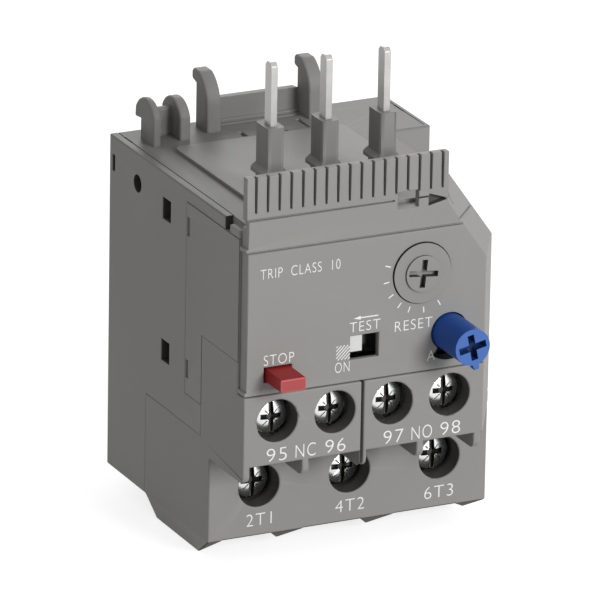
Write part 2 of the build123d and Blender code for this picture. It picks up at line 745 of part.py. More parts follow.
def bridge_span(i):
    """Left end, right end and underside of a bridge."""
    x0, x1 = aux_x[2 * i] - 1.4, aux_x[2 * i + 1] + 1.4
    z = closed_ear_top - 1.6 if i == 0 else open_ear_top + carrier_travel + 0.35
    return x0, x1, z


def make_bridge(i):
    """Moving contact strip with a silver pad at each end."""
    x0, x1, z = bridge_span(i)
    strip = block(x0, x1, bridge_front, bridge_front + bridge_deep, z, z + bridge_thick)
    pad_z = z + bridge_thick if i == 0 else z - pad_thick
    for x in (x0 + 1.4, x1 - 1.4):
        strip += block(x - 0.7, x + 0.7, bridge_front + 0.2, bridge_front + bridge_deep - 0.2,
                       pad_z, pad_z + pad_thick)
    return strip


def make_carrier():
    """Slide that lifts one bridge off its contacts as it lowers the other."""
    w = carrier_wide / 2
    carrier = block(carrier_stems[0] - w, carrier_stems[1] + w, carrier_front, carrier_back,
                    carrier_bar_low, carrier_bar_high)
    for i, x in enumerate(carrier_stems):
        carrier += block(x - w, x + w, carrier_front, carrier_back, carrier_low, carrier_bar_low)
        z = bridge_span(i)[2]
        carrier -= block(x - 2 * w, x + 2 * w, bridge_front, bridge_front + bridge_deep, z, z + bridge_thick)
    # tab under the lever
    tab = lever_arm_left + 0.2
    return carrier + block(tab, tab + 1.2, carrier_back, lever_front + lever_thick,
                           carrier_bar_low, lever_arm_low - slide_gap)


def make_lever():
    """Compensated trip lever: lower arm at the bar, upper arm over the carrier."""
    front, back = lever_front, lever_front + lever_thick
    w = lever_wide / 2
    top = lever_arm_low + lever_wide
    lever = rod(pivot_x, pivot_z, 1.9, front, back)
    lever += block(pivot_x - w, pivot_x + w, front, back, bar_low, top)
    lever += block(lever_arm_left, pivot_x, front, back, lever_arm_low, top)
    return lever - rod(pivot_x, pivot_z, pin_r + shaft_gap, front - 1, back + 1)


def make_pin():
    """Pivot pin of the lever, held in the frame."""
    head = lever_front + lever_thick + slide_gap
    pin = rod(pivot_x, pivot_z, pin_r, frame_front + frame_thick, head)
    return pin + many_sided(pivot_x, pivot_z, pin_head_r, head, head + 0.6)


def make_bar(front, finger_side, reach, gap):
    """Slide bar with a finger at each strip."""
    end = pivot_x - lever_wide / 2 - slide_gap
    bar = block(-half + 3.5, end, front, front + bar_deep, bar_low, bar_high)
    for x in blade_x:
        mid = x + blade_thick / 2 + strip_thick / 2
        near = mid + finger_side * (strip_thick / 2 + gap)
        far = near + finger_side * 1.4
        y0, y1 = (front + bar_deep, front + bar_deep + reach) if reach > 0 else (front + reach, front)
        bar += block(min(near, far), max(near, far), y0, y1, bar_low, bar_high)
    return bar


def save(name, shape):
    solids = shape.solids()
    whole = Compound(children=list(solids)) if len(solids) > 1 else solids[0]
    whole = Pos(0, -origin_y, 0) * whole
    whole.label = name
    export_step(whole, os.path.join("parts", name + ".step"))
    print(name, len(solids), "solids", round(whole.volume, 1), "mm3")


os.makedirs("parts", exist_ok=True)

save("rear_housing", make_rear_housing())
save("side_cover", make_side_cover())
save("front_cover", make_front_cover())
save("terminal_block", make_terminal_block())
save("mechanism_frame", make_mechanism_frame())

for i, x in enumerate(blade_x):
    save(f"blade_sleeve_{i + 1}", make_sleeve(x))
    save(f"contact_blade_{i + 1}", make_blade(x))
    save(f"bimetal_strip_{i + 1}", make_strip(x))
    save(f"heater_winding_{i + 1}", make_heater(x))

for i, x in enumerate(main_x):
    save(f"main_bar_{i + 1}", make_main_bar(x))
    save(f"main_screw_{i + 1}", make_screw(x, main_z, main_head_y, main_head_r, main_head_thick,
                                           main_shank_r, main_bar_y - 0.1))
    save(f"main_clamp_{i + 1}", make_cage(x, main_z, main_bar_y - 0.3 - main_cage_wall, main_cage_wall,
                                          main_cage, 7.0, main_wire, main_bar_thick,
                                          main_shank_r + thread_gap, 0.15))

for i, x in enumerate(aux_x):
    save(f"aux_bar_{i + 95}", make_aux_bar(x, i < 2))
    save(f"aux_screw_{i + 95}", make_screw(x, aux_z, aux_head_y, aux_head_r, aux_head_thick,
                                           aux_shank_r, aux_bar_y - 0.1))
    save(f"aux_clamp_{i + 95}", make_cage(x, aux_z, aux_bar_y - 0.2 - aux_cage_wall, aux_cage_wall,
                                          aux_cage, 6.0, aux_wire, aux_bar_thick,
                                          aux_shank_r + thread_gap, 0.1))

save("setting_dial", make_dial())
save("dial_cam", make_cam())
save("reset_button", make_reset_button())
save("reset_ring", make_reset_ring())
save("reset_spring", spring(reset_x, reset_z, 1.9, reset_flange_back, reset_ring_y, 3))
save("stop_button", make_stop_button())
save("stop_spring", spring(stop_x, stop_z, 1.2, stop_flange_back, frame_front, 4, 0.2))
save("test_slider", make_test_slider())
save("trip_bar", make_bar(trip_bar_front, 1, 5.4, slide_gap))
save("differential_bar", make_bar(diff_bar_front, -1, -2.6, diff_travel + 2 * slide_gap))
save("trip_lever", make_lever())
save("pivot_pin", make_pin())
save("contact_carrier", make_carrier())
carrier_spring = coil_spring(0.9, carrier_low - frame_low, 4, 0.15)
save("carrier_spring", Pos(carrier_stems[0], (carrier_front + carrier_back) / 2, frame_low) * carrier_spring)
save("opening_bridge", make_bridge(0))
save("closing_bridge", make_bridge(1))
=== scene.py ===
import json
import math

import bmesh
import bpy
import numpy as np
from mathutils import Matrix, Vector


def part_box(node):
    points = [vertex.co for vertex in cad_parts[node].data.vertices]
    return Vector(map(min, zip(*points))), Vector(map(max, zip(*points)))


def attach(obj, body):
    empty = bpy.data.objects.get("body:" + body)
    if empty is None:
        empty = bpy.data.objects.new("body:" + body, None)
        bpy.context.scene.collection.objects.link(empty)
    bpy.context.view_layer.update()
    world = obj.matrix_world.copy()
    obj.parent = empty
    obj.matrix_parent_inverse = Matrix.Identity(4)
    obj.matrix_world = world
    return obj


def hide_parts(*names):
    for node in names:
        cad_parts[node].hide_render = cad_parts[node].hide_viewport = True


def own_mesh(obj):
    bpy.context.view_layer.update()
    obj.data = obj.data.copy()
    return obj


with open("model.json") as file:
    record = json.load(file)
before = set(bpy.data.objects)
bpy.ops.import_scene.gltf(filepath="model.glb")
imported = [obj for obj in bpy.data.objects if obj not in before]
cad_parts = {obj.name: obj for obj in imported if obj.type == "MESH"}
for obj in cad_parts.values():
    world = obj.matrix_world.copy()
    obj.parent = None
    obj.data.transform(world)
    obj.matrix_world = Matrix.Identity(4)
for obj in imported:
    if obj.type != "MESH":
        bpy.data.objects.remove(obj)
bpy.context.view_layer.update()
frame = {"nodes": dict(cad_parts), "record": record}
mm = 0.001
frontY = -19.7                              # the cover's face, in mm like the values below
lowerY = frontY + 11.45                     # the face with the main terminals
deckZ = 54.6                                # the deck, with hooks and sleeves above it
print("frame loaded,", len(frame["nodes"]), "nodes")


# shader maths

class Wire:                                 # a socket of a node tree, for sums written as Python
    def __init__(self, tree, socket=None):
        self.tree = tree
        self.socket = socket

    # adds a node of a type, with its settings, and the values or links of its sockets
    def node(self, kind, settings=None, values=None, out=0):
        made = self.tree.nodes.new("ShaderNode" + kind)
        for name, value in (settings or {}).items():
            if name == "stops":
                for i, (place, colour) in enumerate(value):
                    stop = made.color_ramp.elements[i] if i < 2 else made.color_ramp.elements.new(place)
                    stop.position = place
                    stop.color = colour
            else:
                setattr(made, name, value)
        for name, value in (values or {}).items():
            if isinstance(value, Wire):
                self.tree.links.new(value.socket, made.inputs[name])
            else:
                made.inputs[name].default_value = value
        return Wire(self.tree, made.outputs[out])

    def sum(self, operation, a, b):
        return self.node("Math", {"operation": operation}, {0: a, 1: b})

    def __add__(self, other):
        return self.sum("ADD", self, other)

    def __radd__(self, other):
        return self.sum("ADD", other, self)

    def __mul__(self, other):
        return self.sum("MULTIPLY", self, other)

    def __rmul__(self, other):
        return self.sum("MULTIPLY", other, self)

    def clamp(self):
        return self.node("Clamp", values={"Value": self})

    # a Mix node's colour sockets are 6 and 7, and its colour output is 2
    def mix(self, low, high):
        return self.node("Mix", {"data_type": "RGBA"}, {0: self, 6: low, 7: high}, 2)


def startMaterial(name):
    material = bpy.data.materials.new(name)
    material.use_nodes = True
    surface = material.node_tree.nodes["Principled BSDF"]
    wire = Wire(material.node_tree)
    place = wire.node("TexCoord", out="Object")
    return material, surface, wire, place


def feed(surface, wire, name):
    wire.tree.links.new(wire.socket, surface.inputs[name])


def shade(colour, factor):
    return (colour[0] * factor, colour[1] * factor, colour[2] * factor, 1.0)


# paints shade by height: multiplies a colour by a tone that depends on the height

def shadeByHeight(wire, place, tones, colour):
    low, high = tones[0][0], tones[-1][0]
    height = wire.node("SeparateXYZ", values={"Vector": place}, out=2)
    reach = wire.node("MapRange", values={"Value": height, "From Min": low * mm, "From Max": high * mm})
    stops = [((z - low) / (high - low), (tone, tone, tone, 1)) for z, tone in tones]
    dim = wire.node("ValToRGB", {"stops": stops}, {"Fac": reach})
    return wire.node("Mix", {"data_type": "RGBA", "blend_type": "MULTIPLY"}, {0: 1.0, 6: colour, 7: dim}, 2)


# moulded plastic: fine spark-eroded grain, faint flow marks, and edges rubbed a little lighter;
# the last argument gives heights in mm with the tone of painted shade there

plasticLook = {"grain": 5200.0, "flowMarks": 120.0, "grainShare": 0.35, "bump": 0.35, "roughSpread": 0.06,
               "edgeFrom": 0.52, "edgeTo": 0.62, "edgeTone": 1.7}


def mouldedPlastic(name, colour, rough=0.5, depth=0.000005, rub=0.10, flow=0.03, gloss=0.16, shadeHeights=None):
    look = plasticLook
    material, surface, wire, place = startMaterial(name)
    fine = wire.node("TexNoise", values={"Vector": place, "Scale": look["grain"], "Detail": 3.0})
    broad = wire.node("TexNoise", values={"Vector": place, "Scale": look["flowMarks"], "Detail": 2.0})
    edge = wire.node("NewGeometry", out="Pointiness")
    rubbed = wire.node("MapRange", values={"Value": edge, "From Min": look["edgeFrom"],
                                           "From Max": look["edgeTo"]})
    tone = (fine * look["grainShare"] + broad * (1 - look["grainShare"])).clamp()
    base = tone.mix(shade(colour, 1.0 - flow), shade(colour, 1.0 + flow))
    if shadeHeights:
        base = shadeByHeight(wire, place, shadeHeights, base)
    worn = (rubbed * rub).mix(base, shade(colour, look["edgeTone"]))
    feed(surface, worn, "Base Color")
    feed(surface, (rough - look["roughSpread"]) + 2 * look["roughSpread"] * fine, "Roughness")
    bump = wire.node("Bump", values={"Height": fine, "Strength": look["bump"], "Distance": depth})
    feed(surface, bump, "Normal")
    surface.inputs["Specular IOR Level"].default_value = gloss
    return material


# bare and plated metal: drawn lines along one axis, and small stains

metalLook = {"lines": 9000.0, "clouds": 420.0, "lineShare": 0.4, "bump": 0.4, "lineSpread": 0.14,
             "cloudSpread": 0.08, "bright": 0.3}


def drawnMetal(name, colour, rough=0.3, stretch=(1.0, 1.0, 0.05), depth=0.000004, stain=0.12):
    look = metalLook
    material, surface, wire, place = startMaterial(name)
    along = wire.node("Mapping", values={"Vector": place, "Scale": stretch})
    lines = wire.node("TexNoise", values={"Vector": along, "Scale": look["lines"], "Detail": 2.0})
    cloud = wire.node("TexNoise", values={"Vector": place, "Scale": look["clouds"], "Detail": 3.0})
    tone = (lines * look["lineShare"] + cloud * (1 - look["lineShare"])).clamp()
    stained = tone.mix(shade(colour, 1.0 - stain), shade(colour, 1.0 + look["bright"] * stain))
    feed(surface, stained, "Base Color")
    spread = look["lineSpread"] * lines + look["cloudSpread"] * cloud
    feed(surface, (rough - look["lineSpread"] / 2) + spread, "Roughness")
    bump = wire.node("Bump", values={"Height": lines, "Strength": look["bump"], "Distance": depth})
    feed(surface, bump, "Normal")
    surface.inputs["Metallic"].default_value = 1.0
    return material


finishes = {
    "housing_grey": mouldedPlastic("housingGrey", (0.292, 0.286, 0.277)),
    "dial_grey": mouldedPlastic("dialGrey", (0.285, 0.280, 0.272), rough=0.45),
    "reset_blue": mouldedPlastic("resetBlue", (0.010, 0.070, 0.330), rough=0.42, rub=0.2),
    "stop_red": mouldedPlastic("stopRed", (0.300, 0.015, 0.016), rough=0.42, rub=0.2),
    "inner_white": mouldedPlastic("naturalWhite", (0.680, 0.680, 0.665), rough=0.42, rub=0.0),
    "inner_black": mouldedPlastic("carrierBlack", (0.170, 0.170, 0.172), rough=0.45),
    "blade_silver": drawnMetal("platedBlade", (0.500, 0.496, 0.488), rough=0.46, stain=0.30),
    "screw_zinc": drawnMetal("zincSteel", (0.780, 0.785, 0.790), rough=0.20, stretch=(1.0, 1.0, 1.0)),
    "spring_steel": drawnMetal("springWire", (0.520, 0.520, 0.530), rough=0.30),
    "bimetal": drawnMetal("bimetalStrip", (0.640, 0.600, 0.540), rough=0.36),
    "heater_wire": drawnMetal("heaterWire", (0.400, 0.375, 0.350), rough=0.42, stain=0.3),
}
printWhite = mouldedPlastic("printWhite", (0.86, 0.86, 0.85), rough=0.6, depth=0.000002, rub=0.0, flow=0.02)
# painted shade and painted light: darker and lighter faces of the same pieces
holeShade = mouldedPlastic("holeShade", (0.060, 0.057, 0.053), rough=0.6, rub=0.0, gloss=0.15)
seamShade = mouldedPlastic("seamShade", (0.090, 0.088, 0.085), rough=0.6, rub=0.0, gloss=0.15)
slotShade = drawnMetal("slotShade", (0.060, 0.058, 0.055), rough=0.55)
rimShade = drawnMetal("rimShade", (0.200, 0.200, 0.200), rough=0.35)
stopLitFront = mouldedPlastic("stopLitFront", (0.430, 0.085, 0.088), rough=0.5, rub=0.0)
stopEdgeHighlight = mouldedPlastic("stopEdgeHighlight", (0.560, 0.130, 0.130), rough=0.4, rub=0.0)
resetLitFront = mouldedPlastic("resetLitFront", (0.075, 0.165, 0.480), rough=0.5, rub=0.0)
resetSlotShade = mouldedPlastic("resetSlotShade", (0.008, 0.030, 0.120), rough=0.5, rub=0.0)
# the deck and the plateau lie in shade between the walls, and so do the hooks behind them
rearShade = [(54.2, 1.0), (54.55, 0.69), (54.75, 0.69), (54.98, 0.81), (55.4, 0.81), (56.2, 0.78)]
rearGrey = mouldedPlastic("rearGrey", (0.292, 0.286, 0.277), shadeHeights=rearShade)
print("materials made")

slotOf = {entry["node"]: entry["material_slot"] for entry in frame["record"]["subparts"]}
bodyOf = {node: body for body, nodes in frame["record"]["behaviour"]["bodies"].items() for node in nodes}


# helpers for modelling by hand

def pickOnly(obj):
    bpy.ops.object.select_all(action="DESELECT")
    obj.select_set(True)
    bpy.context.view_layer.objects.active = obj


def applyPlace(obj):
    pickOnly(obj)
    bpy.ops.object.transform_apply(location=True, rotation=True, scale=True)


def applyModifiers(obj):
    pickOnly(obj)
    for modifier in list(obj.modifiers):
        bpy.ops.object.modifier_apply(modifier=modifier.name)


def paint(obj, material):
    obj.data.materials.clear()
    obj.data.materials.append(material)


def settle(obj, body, slot, material=None):
    paint(obj, material or finishes[slot])
    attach(obj, body)


# rounds the shading, but keeps broad flat faces flat up to their borders

def smoothFaces(obj, angle=28, broad=12.0):
    pickOnly(obj)
    bpy.ops.object.shade_smooth_by_angle(angle=math.radians(angle))
    net = bmesh.new()
    net.from_mesh(obj.data)
    for edge in net.edges:
        largest = max((face.calc_area() for face in edge.link_faces), default=0.0)
        if largest > broad * mm * mm and edge.calc_face_angle(0.0) > math.radians(1):
            edge.smooth = False
    net.to_mesh(obj.data)
    net.free()
    even = obj.modifiers.new("evenNormals", "WEIGHTED_NORMAL")
    even.keep_sharp = True
    bpy.ops.object.modifier_apply(modifier=even.name)


cleanCopy = {"merge": 0.000002, "flat": 0.3}


def copyNode(node):
    pickOnly(frame["nodes"][node])
    bpy.ops.object.duplicate()
    piece = bpy.context.view_layer.objects.active
    piece.name = node + "_body"
    piece.data.name = piece.name
    bpy.ops.object.mode_set(mode="EDIT")
    bpy.ops.mesh.select_all(action="SELECT")
    bpy.ops.mesh.remove_doubles(threshold=cleanCopy["merge"])
    bpy.ops.mesh.dissolve_limited(angle_limit=math.radians(cleanCopy["flat"]))
    bpy.ops.object.mode_set(mode="OBJECT")
    return piece


# how far each edge may be broken before it meets the next edge on either of its faces;
# slant lets a tip count that lies a little past the edge's ends, and facing picks the edges across the face

roomRules = {"least": 0.000002, "slant": 0.6, "facing": -0.2, "free": 1.0}


def roomBeside(net):
    room = {}
    for face in net.faces:
        tips = np.array([loop.vert.co[:] for loop in face.loops])
        ends = np.roll(tips, -1, axis=0)
        runs = ends - tips
        lengths = np.maximum(np.linalg.norm(runs, axis=1), 1e-9)
        ways = runs / lengths[:, None]
        inward = np.cross(np.array(face.normal[:]), ways)
        offset = tips[None, :, :] - tips[:, None, :]
        across = np.einsum("ijk,ik->ij", offset, inward)
        along = np.einsum("ijk,ik->ij", offset, ways)
        beyond = np.maximum(np.maximum(-along, along - lengths[:, None]), 0.0)
        inFront = (across > roomRules["least"]) & (beyond < roomRules["slant"] * across)
        gap = np.where(inFront, np.hypot(across, beyond), roomRules["free"])
        # the same from the other side: this edge's ends against the other edges
        facing = np.einsum("ik,jk->ij", ways, ways) < roomRules["facing"]
        back = np.where(facing, gap.T, roomRules["free"])
        nearest = np.minimum(gap.min(axis=1), back.min(axis=1))
        for loop, free in zip(face.loops, nearest):
            key = loop.edge.index
            room[key] = min(room.get(key, roomRules["free"]), float(free))
    return room


# a copy of a CAD node with its edges broken by zone, which stands for the node

def softenNode(node, zone, segments=3, share=0.40, angle=30.0):
    piece = copyNode(node)
    net = bmesh.new()
    net.from_mesh(piece.data)
    net.edges.ensure_lookup_table()
    room = roomBeside(net)
    weights = net.edges.layers.float.new("bevel_weight_edge")
    widest = 0.0
    wanted = {}
    for edge in net.edges:
        if len(edge.link_faces) != 2 or edge.calc_face_angle(0.0) < math.radians(angle):
            continue
        middle = (edge.verts[0].co + edge.verts[1].co) / 2 / mm
        width = zone(middle, edge) if edge.is_convex else 0.0
        width = min(width * mm, share * room[edge.index])
        if width > 0.01 * mm:
            wanted[edge.index] = width
            widest = max(widest, width)
    for edge in net.edges:
        edge[weights] = wanted.get(edge.index, 0.0) / widest
    net.to_mesh(piece.data)
    net.free()
    bevel = piece.modifiers.new("brokenEdges", "BEVEL")
    bevel.width = widest
    bevel.segments = segments
    bevel.limit_method = "WEIGHT"
    bevel.use_clamp_overlap = False
    bevel.loop_slide = False
    bevel.miter_outer = "MITER_ARC"
    applyModifiers(piece)
    smoothFaces(piece)
    settle(piece, bodyOf[node], slotOf[node])
    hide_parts(node)
    return piece


def sameAll(width):
    return lambda middle, edge: width


def upright(edge):
    way = (edge.verts[1].co - edge.verts[0].co).normalized()
    return abs(way.z) > 0.9


# short edges are the facets of a curve

def curved(edge):
    return edge.calc_length() < 0.5 * mm


# widths of the broken edges in mm, and the heights and places where one width gives way to the next

housingEdges = {"hook": 0.38, "deck": 0.20, "wall": 0.22, "hooksFrom": deckZ + 0.7, "deckFrom": deckZ - 0.5}


def housingZone(middle, edge):
    if middle.z > housingEdges["hooksFrom"]:
        return housingEdges["hook"]
    if curved(edge):
        return 0.0
    return housingEdges["deck"] if middle.z > housingEdges["deckFrom"] else housingEdges["wall"]


coverEdges = {"comb": 0.12, "face": 0.16, "corner": 0.24, "combFrom": deckZ + 1.6, "cornerTo": -21.5}


def coverZone(middle, edge):
    if curved(edge):
        return 0.0
    if middle.z > coverEdges["combFrom"]:
        return coverEdges["comb"]
    atCorner = middle.x < coverEdges["cornerTo"] and upright(edge)
    return coverEdges["corner"] if atCorner else coverEdges["face"]


blockEdges = {"face": 0.22, "rest": 0.18, "near": 0.1}


def blockZone(middle, edge):
    onFace = middle.y < frontY + blockEdges["near"] or abs(middle.y - lowerY) < blockEdges["near"]
    return blockEdges["face"] if onFace else blockEdges["rest"]


sleeveEdges = {"upright": 0.34, "level": 0.0}


def sleeveZone(middle, edge):
    return sleeveEdges["upright"] if upright(edge) else sleeveEdges["level"]


poles = range(1, 4)
auxNumbers = range(95, 99)
edges = {
    "rear_housing": housingZone, "front_cover": coverZone, "terminal_block": blockZone,
    "side_cover": sameAll(0.06), "setting_dial": sameAll(0.04), "stop_button": sameAll(0.18),
    "test_slider": sameAll(0.08),
}
for n in poles:
    edges[f"blade_sleeve_{n}"] = sleeveZone
    edges[f"contact_blade_{n}"] = sameAll(0.08)
    edges[f"main_clamp_{n}"] = sameAll(0.22)
for n in auxNumbers:
    edges[f"aux_clamp_{n}"] = sameAll(0.18)
softened = {node: softenNode(node, zone) for node, zone in edges.items()}
for node in ["rear_housing"] + [f"blade_sleeve_{n}" for n in poles]:
    paint(softened[node], rearGrey)
print("nodes softened:", len(softened))


# gives the faces that a rule picks a second finish

def tint(piece, material, rule):
    piece.data.materials.append(material)
    index = len(piece.data.materials) - 1
    for face in piece.data.polygons:
        if rule(face.center / mm, face.normal):
            face.material_index = index


def middleOf(node):
    low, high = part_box(node)
    return (Vector(low) + Vector(high)) / 2 / mm


def away(point, centre):
    return math.hypot(point.x - centre.x, point.z - centre.z)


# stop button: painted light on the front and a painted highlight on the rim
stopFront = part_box("stop_button")[0][1] / mm
stopRim = {"face": 0.01, "deep": 0.2, "steep": 0.98, "flat": 0.1}
tint(softened["stop_button"], stopLitFront, lambda at, way: at.y < stopFront + stopRim["face"])
tint(softened["stop_button"], stopEdgeHighlight,
     lambda at, way: at.y < stopFront + stopRim["deep"] and -stopRim["steep"] < way.y < -stopRim["flat"])

# painted shade on the walls around and in the dial, round the reset button and in the comb's notch
dialAt, resetAt = middleOf("setting_dial"), middleOf("reset_ring")
recess = {"dial": 5.0, "reset": 4.6, "wall": 0.5}
tint(softened["setting_dial"], holeShade, lambda at, way: abs(way.y) < recess["wall"])
tint(softened["front_cover"], holeShade,
     lambda at, way: (away(at, dialAt) < recess["dial"] or away(at, resetAt) < recess["reset"])
     and abs(way.y) < recess["wall"])
notch = {"left": 5.5, "right": 9.2, "low": 53.5, "high": 57.3, "front": 0.3, "back": 1.6}
tint(softened["front_cover"], seamShade,
     lambda at, way: notch["left"] < at.x < notch["right"] and notch["low"] < at.z < notch["high"]
     and notch["front"] < at.y - frontY < notch["back"])

# painted shade: the openings in the left wall and the gap in its rim are painted dark inside, and the
# panel's seam as a dark line
leftWall = {"outer": -22.42, "inner": -20.7, "top": 52.3, "from": 22.0, "wall": 0.6}
tint(softened["rear_housing"], holeShade,
     lambda at, way: leftWall["outer"] < at.x < leftWall["inner"] and at.z < leftWall["top"]
     and at.y > frontY + leftWall["from"] and abs(way.x) < leftWall["wall"])
rimGap = {"right": -21.2, "front": 5.5, "back": 7.1, "low": 52.2, "wall": 0.9}
tint(softened["rear_housing"], holeShade,
     lambda at, way: at.x < rimGap["right"] and rimGap["front"] < at.y - frontY < rimGap["back"]
     and at.z > rimGap["low"] and abs(way.x) < rimGap["wall"])
panelSeam = {"face": -22.35, "flat": 0.98}
tint(softened["side_cover"], seamShade,
     lambda at, way: at.x < panelSeam["face"] and abs(way.x) < panelSeam["flat"])


# terminal screws: a domed head with a cross recess and fine driver marks between its arms,
# on the shank of the node; all sizes in mm

headShape = {"radius": 2.65, "thick": 1.2, "dome": 0.55, "arm": 0.80, "across": 1.62, "deep": 0.85,
             "rim": 0.16, "wear": 0.05}
screwKinds = {"main": {"y": 13.9, "radius": 2.8}, "aux": {"y": 2.1, "radius": 2.65}}
driverMark = {"wide": 0.16, "reach": 0.82, "deep": 0.16, "turns": (45, 135)}
# the level arm is a touch narrower and less deep, so that no faces of the two cuts lie in one plane
levelArm = {"deep": 0.95, "wide": 0.98}
shankGap = 0.02                     # between the back of a head and its shank
# which faces count as a head's rim and as the walls and the floor of its recess, which get painted shade
headTint = {"slack": 0.02, "past": 0.05, "wall": 0.5, "underDome": 0.4}


def combine(piece, other, operation):
    join = piece.modifiers.new("join", "BOOLEAN")
    join.operation = operation
    join.object = other
    pickOnly(piece)
    bpy.ops.object.modifier_apply(modifier=join.name)
    bpy.data.objects.remove(other)


def cutWith(head, size, y, turn=0.0):
    bpy.ops.mesh.primitive_cube_add(size=1, location=(0, y, 0), rotation=(0, turn, 0), scale=size)
    combine(head, bpy.context.object, "DIFFERENCE")


def breakEdges(piece, width, segments, angle):
    bevel = piece.modifiers.new("brokenEdges", "BEVEL")
    bevel.width = width
    bevel.segments = segments
    bevel.limit_method = "ANGLE"
    bevel.angle_limit = math.radians(angle)
    applyModifiers(piece)


# the head is modelled at a thousand times its size with its front at y = 0, and shrunk when it is placed

def makeHead(shape):
    radius, dome, thick = shape["radius"], shape["dome"], shape["thick"]
    ball = (radius * radius + dome * dome) / (2 * dome)
    bpy.ops.mesh.primitive_cylinder_add(vertices=96, radius=radius, depth=thick, location=(0, thick / 2, 0),
                                        rotation=(math.radians(90), 0, 0))
    head = bpy.context.object
    applyPlace(head)
    bpy.ops.mesh.primitive_uv_sphere_add(segments=64, ring_count=120, radius=ball, location=(0, ball, 0),
                                         rotation=(math.radians(90), 0, 0))
    combine(head, bpy.context.object, "INTERSECT")
    breakEdges(head, shape["rim"], 4, 40)
    cutWith(head, (shape["arm"], 2 * shape["deep"], 2.4 * radius), 0)
    cutWith(head, (2 * shape["across"], 2 * levelArm["deep"] * shape["deep"],
                   levelArm["wide"] * shape["arm"]), 0)
    mark = (driverMark["wide"], 2 * driverMark["deep"] + 0.35 * dome, 2 * driverMark["reach"] * radius)
    for turn in driverMark["turns"]:
        cutWith(head, mark, 0, math.radians(turn))
    breakEdges(head, shape["wear"], 2, 45)
    return head


# keeps what lies behind a plane across y, closed by a flat face

def keepBehind(piece, y):
    pickOnly(piece)
    bpy.ops.object.mode_set(mode="EDIT")
    bpy.ops.mesh.select_all(action="SELECT")
    bpy.ops.mesh.bisect(plane_co=(0, y, 0), plane_no=(0, 1, 0), clear_inner=True, use_fill=True,
                        threshold=0.000001)
    bpy.ops.object.mode_set(mode="OBJECT")


def makeScrew(head, kind, node):
    low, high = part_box(node)
    grow = kind["radius"] / headShape["radius"]
    shape = {name: value * grow for name, value in headShape.items()}
    front = kind["y"] + frontY
    shank = copyNode(node)
    keepBehind(shank, (front + shape["thick"]) * mm + shankGap * mm)
    screw = head.copy()
    screw.data = head.data.copy()
    bpy.context.collection.objects.link(screw)
    screw.location = ((low[0] + high[0]) / 2, front * mm, (low[2] + high[2]) / 2)
    screw.scale = (grow * mm, grow * mm, grow * mm)
    applyPlace(screw)
    shank.select_set(True)
    bpy.ops.object.join()
    screw.name = node + "_body"
    smoothFaces(screw, 32)
    settle(screw, bodyOf[node], slotOf[node])
    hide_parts(node)
    centre = middleOf(node)
    edge = shape["arm"] / 2 + headTint["slack"]

    def onRim(at, way):
        return away(at, centre) > shape["radius"] - shape["rim"] - headTint["slack"]

    def inSlot(at, way):
        x, z = abs(at.x - centre.x), abs(at.z - centre.z)
        crossed = x < edge or (z < edge and x < shape["across"] + headTint["past"])
        deep = at.y - front
        within = math.hypot(x, z) < shape["radius"] and deep < shape["deep"] + headTint["past"]
        wall = deep > 0 and abs(way.y) < headTint["wall"]
        return crossed and within and (wall or deep > headTint["underDome"] * shape["dome"])

    # painted shade on the rim and in the recess of each head
    tint(screw, rimShade, onRim)
    tint(screw, slotShade, inSlot)


mainScrews = [f"main_screw_{n}" for n in poles]
auxScrews = [f"aux_screw_{n}" for n in auxNumbers]
head = makeHead(headShape)
for kind, nodes in (("main", mainScrews), ("aux", auxScrews)):
    for node in nodes:
        makeScrew(head, screwKinds[kind], node)
bpy.data.objects.remove(head)
print("screws made:", len(mainScrews + auxScrews))


# reset button: a bevelled rod with a cross slot and a pointer, in front of the node's flange and shaft;
# sizes in mm, and the turn in degrees

resetShape = {"radius": 2.75, "edge": 0.22, "seam": 2.4, "arm": 1.04, "across": 2.15, "upright": 1.95,
              "deep": 1.4, "turn": 12, "nubWide": 1.25, "nubOut": 0.75, "nubDeep": 1.3, "nubTaper": 0.62}
rodOverlap = 0.02                   # the rod reaches this far over its shaft


def makeResetRod(shape, front, seam):
    radius, nubDeep = shape["radius"] * mm, shape["nubDeep"] * mm
    bpy.ops.mesh.primitive_cylinder_add(vertices=96, radius=radius, depth=seam - front,
                                        location=(0, (seam + front) / 2, 0),
                                        rotation=(math.radians(90), 0, 0))
    rod = bpy.context.object
    applyPlace(rod)
    bpy.ops.mesh.primitive_cube_add(size=1, location=(0, front + nubDeep / 2, -radius),
                                    scale=(shape["nubWide"] * mm, nubDeep, 2 * shape["nubOut"] * mm))
    nub = bpy.context.object
    bpy.ops.object.mode_set(mode="EDIT")
    net = bmesh.from_edit_mesh(nub.data)
    for face in net.faces:
        face.select_set(face.normal.z < -0.5)
    net.select_flush_mode()
    bpy.ops.transform.resize(value=(shape["nubTaper"], 1, 1))
    bpy.ops.object.mode_set(mode="OBJECT")
    combine(rod, nub, "UNION")
    breakEdges(rod, shape["edge"] * mm, 4, 40)
    deep = 2 * shape["deep"] * mm
    cutWith(rod, (2 * shape["across"] * mm, deep, shape["arm"] * mm), front)
    cutWith(rod, (shape["arm"] * mm, deep, 2 * shape["upright"] * mm), front)
    rod.rotation_euler = (0, -math.radians(shape["turn"]), 0)
    rod.location = (resetAt.x * mm, 0, resetAt.z * mm)
    applyPlace(rod)
    return rod


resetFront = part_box("reset_button")[0][1]
seam = (frontY + resetShape["seam"]) * mm
stem = copyNode("reset_button")
keepBehind(stem, seam - rodOverlap * mm)
button = makeResetRod(resetShape, resetFront, seam)
pickOnly(button)
stem.select_set(True)
bpy.ops.object.join()
button.name = "reset_button_body"
smoothFaces(button, 32)
settle(button, bodyOf["reset_button"], slotOf["reset_button"])
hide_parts("reset_button")
